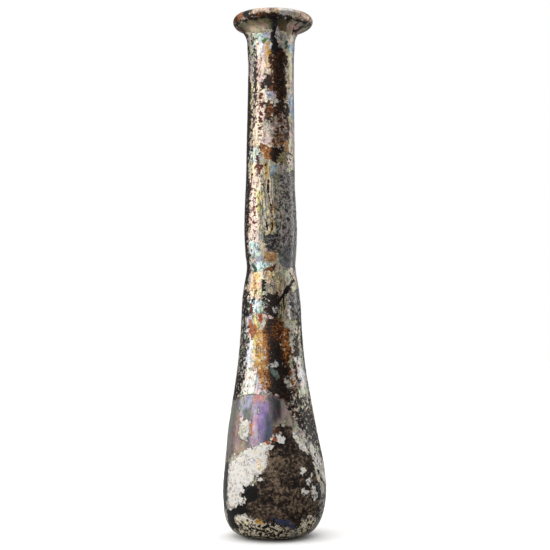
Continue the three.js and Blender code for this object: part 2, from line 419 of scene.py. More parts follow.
# Dark specks eaten through the film and the crust.
SPECKS = [
    Share(0.17, 0, 70, 400, 90),
    Share(0.6, -52, 108, 8, 14, 3),
    Share(0.5, -50, 86, 6, 11, 3),
    Share(0.55, -50, 48, 7, 11, 3),
    Share(0.45, -44, 62, 12, 4, 3),
    Share(0.86, -43, 122, 8, 11, 3),
    Share(0.42, -55, 108, 8, 6, 3),
    Share(0.62, -70, 127, 12, 7),
    Share(0.5, -52, 131, 10, 4, 3),
    Share(0.2, -22, 116, 8, 13, 3),
    Share(0.55, 32, 110, 25, 5, 3),
    Share(0.4, 52, 101, 20, 3.5, 3),
    Share(0.5, -30, 98.3, 11, 2.2, 3),
    Share(0.45, -38, 87, 9, 12, 3),
    Share(0.34, -17, 93, 8, 4),
    Share(0.5, -16, 66.4, 4.5, 5),
    Share(0.3, -42, 66.4, 16, 4),
    Share(0.5, 55, 69, 14, 2.5, 3),
    Share(0.32, 55, 48, 24, 11, 3),
    Share(0.6, 58, 33, 26, 5, 3),
    Share(0.2, -40, 17, 26, 8, 3),
    Share(0.57, -18, 1.6, 44, 3.4, 3),
    Share(0.5, 45, 3.2, 20, 2.4, 3),
    Share(0.5, 49, 14, 8, 5, 3),
    Share(0.5, 70, 8, 16, 4, 3),
    Share(0.4, 64, 21, 12, 4),
    Share(0.5, -78, 14, 12, 7, 3),
    Share(0.45, 120, 100, 30, 16),
    Share(0.4, -120, 60, 24, 20),
    Share(0.4, 170, 60, 26, 14),
]
# Where the specks are rusty instead of black.
RUST = [
    Share(0.9, -25, 115, 11, 14, 3),
    Share(0.95, -37, 88, 12, 13, 3),
    Share(0.8, -30, 98.3, 12, 2.4, 3),
    Share(0.3, 30, 110, 26, 6, 3),
    Share(0.7, -30, 17, 10, 6),
    Share(0.5, 56, 48, 20, 10),
    Share(0.7, 150, 90, 40, 30),
]
# Where the enamel thins to amber.
WARMTH = [
    Share(0.16, 14, 122, 32, 10, 3),
    Share(0.5, 2, 124, 4, 6, 3),
    Share(0.6, -5, 114, 9, 2),
    Share(0.2, -8, 123.4, 10, 2),
    Share(1.0, -13, 102.6, 14, 2.4, 3),
    Share(0.5, 24, 106, 24, 2),
    Share(1.0, -14, 49, 10, 8, 3),
    Share(0.85, 27, 52, 9, 5),
    Share(0.5, 10, 55, 14, 3),
    Share(0.7, 36, 42.6, 6, 3),
    Share(0.6, -8, 12, 12, 8),
    Share(0.3, 130, 9, 20, 6),
    Share(0.8, -12, 41.6, 12, 2.4),
    Share(0.5, -4, 71.7, 14, 1),
    Share(0.3, -60, 138, 60, 4),
    Share(0.3, 150, 138, 60, 4),
    Share(0.6, 112, 64, 14, 16),
    Share(0.5, 182, 92, 12, 10),
]
# Where rusty dashes lie across the film, one above another.
DASHES = [
    Share(1.1, -26, 114, 9, 13, 3),
    Share(1.1, -28, 99.6, 11, 4, 3),
    Share(1.0, -38, 86, 7, 10, 3),
    Share(1.2, -16, 66.8, 7, 5, 3),
    Share(0.7, 52, 48, 20, 9, 3),
    Share(0.7, 60, 34, 22, 4, 3),
    Share(0.85, 150, 90, 30, 24, 3),
]
# Where the film still shows in flecks through the enamel.
FLECKS = [
    Share(0.2, -74, 110, 18, 14, 3),
    Share(0.3, -74, 84, 20, 14, 3),
    Share(0.5, -72, 52, 20, 15, 3),
    Share(0.62, 30, 107, 24, 4, 3),
    Share(0.14, 26, 121, 16, 7, 3),
    Share(0.3, 22, 52, 14, 3),
    Share(0.75, -9, 46, 7, 1.6),
    Share(0.7, -15, 41.4, 8, 2),
    Share(0.6, 40, 36, 16, 3),
    Share(0.62, 30, 41.4, 10, 2.6),
    Share(0.5, 60, 28, 30, 8),
    Share(0.5, 180, 90, 60, 60),
]
# Where fine lines run up the wall, drawn when the neck was pulled.
STRANDS = [
    Share(1.0, -9, 88, 17, 12, 3),
    Share(0.7, -14, 97.5, 8, 3),
    Share(0.8, 12, 68, 20, 4.5, 3),
    Share(0.8, 20, 60.5, 9, 4.5, 3),
    Share(0.5, 60, 62, 26, 5, 3),
    Share(0.4, -44, 114, 14, 18, 3),
    Share(0.5, 50, 122, 14, 9, 3),
    Share(0.35, 0, 30, 30, 8, 3),
    Share(0.6, 160, 74, 40, 30, 3),
    Share(0.5, -130, 90, 30, 30, 3),
]
# Where dark threads swirl in the bare glass.
THREADS = [
    Share(1.0, 46, 87, 40, 11, 3),
    Share(0.35, 44, 75, 30, 3.6, 3),
    Share(0.8, 60, 62, 26, 4, 3),
    Share(0.5, 4, 78.6, 16, 2.6, 3),
    Share(0.8, 178, 122, 24, 14),
    Share(0.8, 106, 50, 20, 12),
    Share(0.7, -148, 26, 26, 12),
    Share(0.6, -94, 29, 17, 9),
    Share(0.7, -128, 116, 16, 12),
]

# The coats in one colour each, or mottled in the shader, and those that have a colour patch by patch.
PLAIN_COATS = {
    "enamel": (ENAMEL, RIM_ENAMEL),
    "earth": (EARTH, []),
    "pitch": (PITCH, []),
    "crust": (CRUST, []),
    "crack": (CRACKS, RIM_CRACKS),
}
TINTED_COATS = {
    # name: patches on the body, patches on the rim, and how softly their colours meet
    "film": (FILM, RIM_FILM, FILM_FADE),
    "glass": (GLASS, RIM_GLASS, GLASS_FADE),
    "accent": (ACCENTS, RIM_ACCENTS, FILM_FADE),
}
SHARES = {
    "specks": SPECKS,
    "dashes": DASHES,
    "flecks": FLECKS,
    "rust": RUST,
    "warmth": WARMTH,
    "strands": STRANDS,
    "threads": THREADS,
}


# ---------------------------------------------------------------------------------------------
# Sizes and colours that a user would change
# ---------------------------------------------------------------------------------------------


def length(name, description, value):
    """A length property, given in millimetres."""
    return FloatProperty(
        name=name, description=description, default=value * MM, min=0.0, unit="LENGTH", precision=5
    )


def colour(name, description, code):
    """A colour property, given as six hexadecimal digits."""
    return FloatVectorProperty(
        name=name, description=description, default=linear(code), min=0.0, max=1.0, subtype="COLOR"
    )


class WallSettings(bpy.types.PropertyGroup):
    """How finely the flask's wall is made."""

    columns: IntProperty(name="Columns", description="Faces round the wall", default=208, min=24)
    rows_outside: IntProperty(
        name="Rows outside", description="Rows of faces from the foot to the lip", default=404, min=24
    )
    rows_inside: IntProperty(
        name="Rows inside", description="Rows of faces from the lip to the floor", default=54, min=12
    )


class ReliefSettings(bpy.types.PropertyGroup):
    """How far each coat stands proud of the glass, or is sunk into it."""

    enamel: length("Enamel", "Thickness of the brown enamel", 0.06)
    crust: length("Crust", "Thickness of the chalky crust", 0.16)
    earth: length("Earth", "Thickness of the caked earth", 0.18)
    bare: length("Bare", "How deep the bare glass lies under the film", 0.09)
    pits: length("Pits", "Depth of the pits in the film", 0.06)
    folds: length("Folds", "Depth of the cracks and folds", 0.12)
    waver: length("Waver", "How far the hand-blown wall strays", 0.1)


class CoatColours(bpy.types.PropertyGroup):
    """The colours of the film, the coats and the glass."""

    pearl: colour("Pearl", "The film where it has no other tint", "CFC9BE")
    white: colour("White", "Whitest film", "F6F5F2")
    silver: colour("Silver", "Cool white film", "E2E2E5")
    chalk: colour("Chalk", "The crust", "ECE8E2")
    cream: colour("Cream", "Warm white film", "F6E2C0")
    blush: colour("Blush", "White film with a breath of pink", "FAE3D3")
    butter: colour("Butter", "Yellowish white film", "F4DFA6")
    bone: colour("Bone", "Greenish white film", "D2CEBA")
    ice: colour("Ice", "White film with a breath of cyan", "D4F0F2")
    mist: colour("Mist", "Pale grey-green film", "B4BAB2")
    ash: colour("Ash", "Pale grey film", "B6B4B0")
    fog: colour("Fog", "Grey film with a breath of pink", "CBBFB8")
    clay: colour("Clay", "Grey-pink film", "A3958C")
    sage: colour("Sage", "Grey-green film", "948E72")
    stone: colour("Stone", "Smooth grey glass", "807D77")
    slate: colour("Slate", "Cool grey glass", "7E7C76")
    iron: colour("Iron", "Blue-grey glass", "6E7278")
    steel: colour("Steel", "Blue-grey film", "8496AC")
    azure: colour("Azure", "Blue film", "90B4D2")
    sky: colour("Sky", "Pale blue-green film", "A8CBD2")
    teal: colour("Teal", "Blue-green film", "84A99E")
    iris: colour("Iris", "Lilac-blue film", "B2B8D6")
    peach: colour("Peach", "Orange film", "ECB878")
    salmon: colour("Salmon", "Orange-pink film", "D08E66")
    rose: colour("Rose", "Pink film", "E0A498")
    pink: colour("Pink", "Strong pink glass", "E6A2A4")
    lilac: colour("Lilac", "Purple-grey glass", "D6C2DC")
    violet: colour("Violet", "Purple glass", "A48CBC")
    navy: colour("Navy", "Dark blue glass", "3E4560")
    dusk: colour("Dusk", "Dark mauve glass", "5A555C")
    coal: colour("Coal", "Near-black glass", "302F31")
    jet: colour("Jet", "Greenish black glass", "23282A")
    adobe: colour("Adobe", "Pink-brown glass", "B2978A")
    olive: colour("Olive", "Grey-olive glass", "8A7E5C")
    bronze: colour("Bronze", "Olive-brown glass", "6C5A34")
    beige: colour("Beige", "Warm pale coat", "CDB39E")
    tan: colour("Tan", "Light brown coat", "B48A5C")
    gold: colour("Gold", "Golden film", "CC9A44")
    lime: colour("Lime", "Yellow-green film", "DCDC7C")
    fern: colour("Fern", "Green touch", "4E7A3E")
    forest: colour("Forest", "Dark green touch", "2A463A")
    verdigris: colour("Verdigris", "Grey-green touch", "5F7068")
    copper: colour("Copper", "Orange-brown touch", "9A5E3C")
    ember: colour("Ember", "Orange-red touch", "A04A2E")
    umber: colour("Umber", "Dark of the enamel", "22140C")
    chestnut: colour("Chestnut", "Middle of the enamel", "5A3010")
    amber: colour("Amber", "Bright of the enamel", "B4702A")
    soil: colour("Soil", "Middle of the earth", "463A30")
    sand: colour("Sand", "Bright grains in the earth", "85705A")
    grit: colour("Grit", "Grey grains in the earth", "746C64")
    soot: colour("Soot", "Pits and dark grains", "0E0A08")
    glass: colour("Glass", "The clear glass itself", "C9D2C8")
    rust: colour("Rust", "Rusty specks", "74301C")


class StudioSettings(bpy.types.PropertyGroup):
    """The camera and the soft light."""

    distance: length("Distance", "From the flask's axis to the camera", 312)
    eye: length("Eye", "The camera's height above the floor", 50)
    aim: length("Aim", "The height that the camera is aimed at", 69)
    aside: length("Aside", "How far to the right of the belly's axis the camera stands", 0.12)
    lens: FloatProperty(name="Lens", description="Focal length", default=76.5, unit="CAMERA")
    floor: colour("Floor", "The pale floor", "FAF9F8")
    fill: FloatProperty(name="Fill", description="Brightness of the room", default=0.22, min=0.0)
    bounce: FloatProperty(name="Bounce", description="Share of light the floor gives", default=0.25, min=0)
    ceiling: FloatProperty(name="Ceiling", description="Power of the light overhead", default=2.7, min=0)


SETTINGS = {
    "unguentarium_wall": WallSettings,
    "unguentarium_relief": ReliefSettings,
    "unguentarium_colours": CoatColours,
    "unguentarium_studio": StudioSettings,
}


# ---------------------------------------------------------------------------------------------
# Node trees written as expressions
# ---------------------------------------------------------------------------------------------


class Wire:
    """An output socket. Arithmetic on it adds Math nodes to its tree."""

    def __init__(self, bench, socket):
        self.bench = bench
        self.socket = socket

    def math(self, operation, *others):
        return self.bench.add("ShaderNodeMath", {"operation": operation}, dict(enumerate((self, *others))))

    def __add__(self, other):
        return self.math("ADD", other)

    __radd__ = __add__

    def __mul__(self, other):
        return self.math("MULTIPLY", other)

    __rmul__ = __mul__

    def __sub__(self, other):
        return self.math("SUBTRACT", other)

    def __rsub__(self, other):
        return self.bench.add("ShaderNodeMath", {"operation": "SUBTRACT"}, {0: other, 1: self})

    def __abs__(self):
        return self.math("ABSOLUTE")

    def most(self, other):
        return self.math("MAXIMUM", other)


class Bench:
    """A node tree at work: every node comes from add()."""

    def __init__(self, tree):
        self.tree = tree
        self.shapes = tree.bl_idname == "GeometryNodeTree"

    def add(self, kind, settings=None, inputs=None, output=None):
        """A new node with its settings made first, then its inputs. Gives back one of its outputs."""
        node = self.tree.nodes.new(kind)
        for name, value in (settings or {}).items():
            if name == "stops":
                self.set_stops(node.color_ramp, value)
            else:
                setattr(node, name, value)
        for key, value in (inputs or {}).items():
            socket = node.inputs[key] if isinstance(key, int) else self.open_socket(node.inputs, key)
            if isinstance(value, Wire):
                self.tree.links.new(value.socket, socket)
            else:
                socket.default_value = value
        if not node.outputs:
            return None
        if output is None:
            return Wire(self, next(s for s in node.outputs if s.enabled))
        return Wire(self, self.open_socket(node.outputs, output))

    @staticmethod
    def open_socket(sockets, name):
        return next(s for s in sockets if s.name == name and s.enabled)

    @staticmethod
    def set_stops(ramp, stops):
        for _ in stops[2:]:
            ramp.elements.new(0.5)
        for element, (position, value) in zip(ramp.elements, stops):
            element.position = position
            element.color = (*value, 1.0)

    def reading(self, name, kind="Fac"):
        """A value, vector or colour stored on the mesh."""
        if self.shapes:
            data_type = {"Fac": "FLOAT", "Vector": "FLOAT_VECTOR", "Color": "FLOAT_COLOR"}[kind]
            return self.add("GeometryNodeInputNamedAttribute", {"data_type": data_type}, {"Name": name})
        return self.add("ShaderNodeAttribute", {"attribute_name": name}, output=kind)

    def scaled(self, vector, factors):
        return self.add("ShaderNodeVectorMath", {"operation": "MULTIPLY"}, {0: vector, 1: factors})

    def noise(self, place, size, detail=3.0, roughness=0.6, squeeze=None):
        """Soft noise about 0.5, with features of that size in millimetres, squeezed along X, Y and Z."""
        place = self.scaled(place, squeeze) if squeeze else place
        inputs = {"Vector": place, "Scale": 1 / size, "Detail": detail, "Roughness": roughness}
        return self.add("ShaderNodeTexNoise", {}, inputs)

    def cells(self, place, size, feature="F1", output="Distance"):
        """Cells of that size round scattered points: the distance in cells, or a colour for each."""
        inputs = {"Vector": place, "Scale": 1 / size}
        return self.add("ShaderNodeTexVoronoi", {"feature": feature}, inputs, output)

    def bent(self, place, size, reach):
        """The place, pushed about by noise of that size."""
        push = self.add("ShaderNodeTexNoise", {}, {"Vector": place, "Scale": 1 / size}, "Color")
        push = self.add("ShaderNodeVectorMath", {"operation": "SUBTRACT"}, {0: push, 1: (0.5, 0.5, 0.5)})
        push = self.scaled(push, (2 * reach,) * 3)
        return self.add("ShaderNodeVectorMath", {"operation": "ADD"}, {0: place, 1: push})

    def step(self, value, low, high):
        """0 below low, 1 above high, and smooth between."""
        inputs = {"Value": value, "From Min": low, "From Max": high}
        return self.add("ShaderNodeMapRange", {"interpolation_type": "SMOOTHSTEP"}, inputs)

    def along(self, vector, axis):
        """One number of a vector or a colour."""
        return self.add("ShaderNodeSeparateXYZ", {}, {"Vector": vector}, axis)

    def shaded(self, tint, light, dark, bright=1.0):
        """The tint times a grey that runs from dark to bright with the light."""
        return self.blend(1.0, tint, self.blend(light, (dark,) * 3, (bright,) * 3), "MULTIPLY")

    def stained(self, tint, value, low, high, share, stain):
        """The tint, turned to the stain by that share where the value runs from low to high."""
        return self.blend(self.step(value, low, high) * share, tint, stain)

    def blend(self, factor, a, b, mode="MIX"):
        """Colour a, turned to colour b by the factor."""
        settings = {"data_type": "RGBA", "blend_type": mode}
        rgba = {k: v if isinstance(v, Wire) else (*v[:3], 1.0) for k, v in (("A", a), ("B", b))}
        return self.add("ShaderNodeMix", settings, {"Factor": factor, **rgba}, "Result")


def place_in_scene(name, data):
    """A new object in the scene."""
    thing = bpy.data.objects.new(name, data)
    bpy.context.scene.collection.objects.link(thing)
    return thing


def cleared(block):
    """The bench of a material or a world, with its tree made empty."""
    block.use_nodes = True
    block.node_tree.nodes.clear()
    return Bench(block.node_tree)


CHIP = 0.8  # size of the angular chips along a coat's border
ISLAND_BAR = 0.68  # noise above this shows through the enamel as an island of film
SPECK_BAR = 0.68  # noise above this is a speck, where no specks are stored
DASH_BAR = 0.9  # noise above this is a dash, where no dashes are stored
COATS = {
    # name: how far its border strays in soft noise, and in angular chips, both in millimetres
    "film": (2.2, 0.9),
    "glass": (1.1, 0.6),
    "enamel": (2.4, 0.9),
    "earth": (1.4, 0.8),
    "pitch": (1.1, 0.5),
    "crust": (1.5, 0.9),
    "accent": (2.6, 0.6),
    "crack": (0.9, 0.1),
}


def coat_masks(bench, place):
    """Where every coat lies, and the painted shadow line along its border, the same for the relief and for
    the colour.

    Each vertex holds its depth inside the coat's drawn border, and noise makes that border ragged.
    The enamel is also broken where the noise in it passes a bar, more so where flecks are stored.
    """
    soft = bench.noise(place, 1.35, 6.0, 0.7) - 0.5
    chips = bench.cells(bench.bent(place, 0.5, 0.3), CHIP, output="Color")
    chips = bench.along(chips, "X") - 0.5
    islands = bench.noise(place, 1.0, 5.0, 0.75) + bench.reading("flecks") * 0.24
    masks, shade_lines = {}, {}
    for name, (stray, chip) in COATS.items():
        ragged = bench.reading("level_" + name) + soft * (2 * stray) + chips * chip
        masks[name] = bench.step(ragged, -EDGE, EDGE)
        # Painted shadow: a dark band along each coat's border, where the flake's edge would cast shade.
        shade_lines[name] = bench.step(abs(ragged), SHADE_LINE, SHADE_LINE / 3)
    masks["enamel"] = masks["enamel"] * bench.step(islands, ISLAND_BAR, ISLAND_BAR - 0.03)
    return masks, shade_lines


def speck_mask(bench, place):
    """Specks and dashes eaten through the film, more of them where the stored shares are higher."""
    spots = bench.noise(place, 0.8, 4.0, 0.68)
    bar = SPECK_BAR - bench.reading("specks") * 0.34
    blots = bench.noise(place, 1.7, 5.0, 0.7, (1, 1, 0.8))
    dashes = bench.noise(place, 0.8, 2.5, 0.55, (0.6, 0.6, 1.15))
    reach = DASH_BAR - bench.reading("dashes") * 0.415
    eaten = bench.step(spots, bar, bar + 0.025)
    eaten = eaten.most(bench.step(blots, bar + 0.09, bar + 0.11))
    return eaten.most(bench.step(dashes, reach, reach + 0.02))


# ---------------------------------------------------------------------------------------------
# The wall
# ---------------------------------------------------------------------------------------------


def solid_rings(node):
    """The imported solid's rings from the foot's middle, up the outside, over the lip and down to the floor.

    Each ring is its middle, its half widths along X and Y, and its height, in millimetres.
    """
    shell = bmesh.new()
    shell.from_mesh(node.data)
    bmesh.ops.remove_doubles(shell, verts=shell.verts, dist=1e-7)
    start = min(shell.verts, key=lambda v: v.co.z + math.hypot(v.co.x, v.co.y))
    rings, ring, seen = [], [start], {start}
    while ring:
        places = np.array([v.co for v in ring]) / MM
        low, high = places.min(0), places.max(0)
        middle = (low + high) / 2
        rings.append([middle[0], (high[0] - low[0]) / 2, (high[1] - low[1]) / 2, middle[2]])
        nearby = {e.other_vert(v) for v in ring for e in v.link_edges} - seen
        ring = sorted(nearby, key=lambda v: v.index)
        seen |= nearby
    shell.free()
    return np.array(rings)


def through(stations, values, wanted):
    """A smooth curve through values at stations, read at the wanted places."""
    slope = np.gradient(values, stations, axis=0)
    k = np.clip(np.searchsorted(stations, wanted) - 1, 0, len(stations) - 2)
    gap = (stations[k + 1] - stations[k])[:, None]
    t = (wanted - stations[k])[:, None] / gap
    from_a = (1 + 2 * t) * (1 - t) ** 2 * values[k] + t * (1 - t) ** 2 * gap * slope[k]
    from_b = t**2 * (3 - 2 * t) * values[k + 1] - t**2 * (1 - t) * gap * slope[k + 1]
    return from_a + from_b


def wall_rows(settings):
    """The rows of the fine wall, as middle, half widths and height, and the number of the lip's top row."""
    rings = solid_rings(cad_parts[CAD_NODE])
    steps = np.hypot(np.diff(rings[:, 1]), np.diff(rings[:, 3]))
    run = np.concatenate([[0], np.cumsum(steps)])
    lip = run[rings[:, 3].argmax()]
    outside = np.linspace(0, lip, settings.rows_outside + 1)
    inside = np.linspace(lip, run[-1], settings.rows_inside + 1)[1:]
    rows = through(run, rings, np.concatenate([outside, inside]))
    rows[0, 1:3] = rows[-1, 1:3] = 0
    rows[:, 3] = np.maximum(rows[:, 3], 0)
    return rows, settings.rows_outside


def wall_mesh(settings):
    """The flask's wall as one closed shell, and each vertex's place, angle and side of the wall."""
    rows, lip_row = wall_rows(settings)
    columns = settings.columns
    angle = np.linspace(-180, 180, columns, endpoint=False)
    middle, half_x, half_y, height = rows[1:-1].T
    turn = np.radians(angle)
    x = middle[:, None] + half_x[:, None] * np.sin(turn)
    y = -half_y[:, None] * np.cos(turn)
    z = np.broadcast_to(height[:, None], x.shape)
    places = np.stack([x, y, z], -1).reshape(-1, 3)
    ends = rows[[0, -1]][:, [0, 0, 3]] * (1, 0, 1)
    places = np.concatenate([places, ends])
    foot, floor = len(places) - 2, len(places) - 1

    count = len(rows) - 2
    grid = np.arange(count * columns).reshape(count, columns)
    right = np.roll(grid, -1, axis=1)
    quads = np.stack([grid[:-1], right[:-1], right[1:], grid[1:]], -1).reshape(-1, 4)
    faces = quads.tolist()
    faces += [[foot, b, a] for a, b in zip(grid[0], right[0])]
    faces += [[floor, a, b] for a, b in zip(grid[-1], right[-1])]

    mesh = bpy.data.meshes.new("glass_vessel_wall")
    mesh.from_pydata((places * MM).tolist(), [], faces)
    mesh.polygons.foreach_set("use_smooth", np.ones(len(mesh.polygons), bool))
    angles = np.concatenate([np.tile(angle, count), [0, 0]])
    inside = np.concatenate([np.repeat(np.arange(1, count + 1) > lip_row, columns), [False, True]])
    return mesh, places, angles, inside


def rule_height(place, angle, eye, distance, aim):
    """Heights as the tables give them: read off a rule beside the axis, by an eye in front of the flask."""
    ahead = np.hypot(place[:, 0], place[:, 1]) * np.maximum(np.cos(np.radians(angle)), 0)
    lift = np.arctan2(place[:, 2] - eye, distance - ahead) - math.atan2(aim - eye, distance)
    return RULE_MIDDLE + distance * np.tan(lift)


def patch_level(patch, angle, height, radius):
    """How far inside a rounded patch each vertex lies."""
    off_angle = (angle - patch.angle + 180) % 360 - 180
    across = abs(off_angle / patch.half_angle)
    along = abs((height - patch.height) / patch.half_height)
    distance = (across**patch.square + along**patch.square) ** (1 / patch.square)
    reach = np.minimum(np.radians(patch.half_angle) * radius, patch.half_height)
    return (1 - distance) * reach


def leg_distance(x, y, a, b):
    """How far each place is from the straight line that runs from a to b."""
    run = b - a
    t = np.clip(((x - a[0]) * run[0] + (y - a[1]) * run[1]) / max(run @ run, 1e-9), 0, 1)
    return np.hypot(x - a[0] - t * run[0], y - a[1] - t * run[1])


def drawn_level(shape, angle, height, radius):
    """How far inside a flake, or inside a stroke's width, each vertex lies."""
    points = shape.corners if isinstance(shape, Flake) else shape.points
    start = sum(a for a, _ in points) / len(points)
    middle = sum(h for _, h in points) / len(points)
    near = abs(height - middle) < BAND
    girth = radius[near].mean() if near.any() else radius.mean()
    corners = np.array([(math.radians(a - start) * girth, h) for a, h in points])
    x = np.radians((angle - start + 180) % 360 - 180) * girth
    low, high = corners.min(0) - FAR, corners.max(0) + FAR
    close = (x > low[0]) & (x < high[0]) & (height > low[1]) & (height < high[1])
    level = np.full(len(x), -FAR)
    x, y = x[close], height[close]
    nearest, within = np.full(len(x), FAR), np.zeros(len(x), bool)
    closed = isinstance(shape, Flake)
    for a, b in zip(corners, np.roll(corners, -1, 0) if closed else corners[1:]):
        nearest = np.minimum(nearest, leg_distance(x, y, a, b))
        if closed and a[1] != b[1]:
            crosses = (a[1] > y) != (b[1] > y)
            within ^= crosses & (x < a[0] + (y - a[1]) * (b[0] - a[0]) / (b[1] - a[1]))
    level[close] = np.where(within, nearest, -nearest) if closed else shape.width / 2 - nearest
    return level


def level_of(shapes, angle, height, radius):
    """Each shape's level at each vertex, in millimetres: positive inside."""
    levels = [
        (patch_level if isinstance(s, Patch) else drawn_level)(s, angle, height, radius) for s in shapes
    ]
    return np.array(levels)


def eased(level, width):
    """0 outside a border that many millimetres wide, 1 inside it, and smooth across it."""
    t = np.clip(level / width + 0.5, 0, 1)
    return t * t * (3 - 2 * t)


def amount_of(shares, angle, height, radius):
    """The amount at each vertex: the most that any patch gives there."""
    amounts = [s.amount * eased(patch_level(s, angle, height, radius), FADE) for s in shares]
    return np.max(amounts, axis=0)


def blended_colour(shapes, levels, colours, width):
    """The colour of the nearest shape, with later shapes laid over earlier ones."""
    own = np.array([getattr(colours, s.colour) for s in shapes])
    tint = own[levels.argmax(0)]
    for level, mine in zip(levels, own):
        tint = tint + (mine - tint) * eased(level, width)[:, None]
    return tint


STORES = {1: ("FLOAT", "value"), 3: ("FLOAT_VECTOR", "vector"), 4: ("FLOAT_COLOR", "color")}


def store(mesh, name, values):
    """Keeps one number, one place or one colour for each vertex."""
    kind, field = STORES[values.size // len(values)]
    layer = mesh.attributes.new(name, kind, "POINT")
    layer.data.foreach_set(field, values.astype(np.float32).ravel())


def store_coats(mesh, place, angle, inside, colours, studio):
    """Works out every coat's level and colour, and the specks, and keeps them on the mesh."""
    radius = np.hypot(place[:, 0], place[:, 1])
    rule = rule_height(place, angle, *(v / MM for v in (studio.eye, studio.distance, studio.aim)))

    def levels_of(name, body, rim):
        levels = level_of(body, angle, rule, radius)
        if rim:
            levels = np.concatenate([levels, level_of(rim, angle, place[:, 2], radius)])
        store(mesh, "level_" + name, np.where(inside, -FAR, levels.max(0)))
        return levels

    for name, (body, rim) in PLAIN_COATS.items():
        levels_of(name, body, rim)
    for name, (body, rim, width) in TINTED_COATS.items():
        tint = blended_colour(body + rim, levels_of(name, body, rim), colours, width)
        store(mesh, "colour_" + name, np.concatenate([tint, np.ones((len(tint), 1))], 1))
    height = np.where(place[:, 2] > RIM_FOOT, place[:, 2], rule)
    for name, shares in SHARES.items():
        store(mesh, name, amount_of(shares, angle, height, radius))
    store(mesh, "inside", inside.astype(float))
    store(mesh, "rest", place)


# ---------------------------------------------------------------------------------------------
# The relief
# ---------------------------------------------------------------------------------------------


FOOT_CALM = (0.15, 1.8)  # heights between which the relief grows from none, so the foot stands flat
RIM_CALM = (134, 136)  # heights between which it is calmed again
RIM_CALMING = 0.6  # by this share
UNEVEN = {
    # coat: the share of its thickness that lies everywhere, and how far noise adds to it or takes away
    "enamel": (0.7, 2.5),
    "earth": (0.7, 3.2),
    "crust": (0.9, 1.6),
}


def relief_tree(material):
    """A tree that raises and sinks the wall's outside by its coats."""
    tree = bpy.data.node_groups.new("coat_relief", "GeometryNodeTree")
    face = tree.interface
    face.new_socket("Geometry", in_out="INPUT", socket_type="NodeSocketGeometry")
    names = [field.capitalize() for field in ReliefSettings.__annotations__]
    for name in names:
        socket = face.new_socket(name, in_out="INPUT", socket_type="NodeSocketFloat")
        socket.subtype = "DISTANCE"
    face.new_socket("Geometry", in_out="OUTPUT", socket_type="NodeSocketGeometry")

    bench = Bench(tree)
    amount = {name.lower(): bench.add("NodeGroupInput", output=name) for name in names}
    place = bench.reading("rest", "Vector")
    mask, _ = coat_masks(bench, place)
    specks = speck_mask(bench, place)
    lumps = bench.noise(place, 0.9, 4.0, 0.6) - 0.5
    grains = bench.noise(place, 1.1, 3.0, 0.7) - 0.5
    film = (1 - mask["glass"]) * (1 - mask["earth"])
    slow = bench.noise(place, 16.0, 2.0, 0.4) - 0.5

    def thickness(coat, noise):
        even, uneven = UNEVEN[coat]
        return amount[coat] * mask[coat] * (even + noise * uneven)

    rise = thickness("enamel", lumps) + thickness("crust", lumps)
    rise = rise + thickness("earth", grains) * (1 - mask["crust"])
    rise = rise - amount["bare"] * mask["glass"] * (1 - mask["enamel"]) * (1 - mask["earth"])
    rise = rise - amount["pits"] * specks * film - amount["folds"] * mask["crack"]
    rise = rise + amount["waver"] * slow * 2
    height = bench.along(place, "Z")
    outside = (1 - bench.reading("inside")) * bench.step(height, *FOOT_CALM)
    outside = outside * (1 - bench.step(height, *RIM_CALM) * RIM_CALMING)
    normal = bench.add("GeometryNodeInputNormal")
    offset = bench.add("ShaderNodeVectorMath", {"operation": "SCALE"}, {0: normal, "Scale": rise * outside})
    wall = bench.add("NodeGroupInput", output="Geometry")
    moved = bench.add("GeometryNodeSetPosition", {}, {"Geometry": wall, "Offset": offset})
    whole = bench.add("GeometryNodeRealizeInstances", {}, {"Geometry": moved})
    painted = bench.add("GeometryNodeSetMaterial", {}, {"Geometry": whole, "Material": material})
    bench.add("NodeGroupOutput", {}, {"Geometry": painted})
    return tree


def raise_coats(flask, settings, material):
    """Runs the relief tree on the flask and keeps the result as its plain mesh."""
    modifier = flask.modifiers.new("coat relief", "NODES")
    modifier.node_group = relief_tree(material)
    for item in modifier.node_group.interface.items_tree:
        if item.in_out == "INPUT" and item.socket_type == "NodeSocketFloat":
            modifier[item.identifier] = getattr(settings, item.name.lower())
    graph = bpy.context.evaluated_depsgraph_get()
    made = bpy.data.meshes.new_from_object(flask.evaluated_get(graph))
    flask.modifiers.clear()
    flask.data = made


# ---------------------------------------------------------------------------------------------
# The finish
# ---------------------------------------------------------------------------------------------


FOIL_METAL = 0.45  # how metallic the clean film is
GLOSS = 0.24  # roughness of the smooth skin
DULLNESS = 0.55  # how much rougher the crust, the earth and the inside are
SHEEN = 0.22  # strength of the skin's own reflection
BUMPS = 0.55  # strength of the fine relief that only the light sees
BUMP_DEPTH = 0.25  # its depth in millimetres
CLEAR_GLOSS = 0.12  # roughness of the clear glass
CLEAR_INDEX = 1.5  # how strongly it bends light
CLEAR_SHARE = 0.22  # how much of it there is where the film has gone


def iridescent(bench, place, tint, play):
    """The tint, each of its red, green and blue drifting on its own as the film's thickness changes."""
    drift = bench.add("ShaderNodeTexNoise", {}, {"Vector": place, "Scale": 1 / 2.2, "Detail": 4.0}, "Color")
    settings = {"operation": "MULTIPLY_ADD"}
    drift = bench.add("ShaderNodeVectorMath", settings, {0: drift, 1: (play,) * 3, 2: (1 - play / 2,) * 3})
    return bench.blend(1.0, tint, drift, "MULTIPLY")


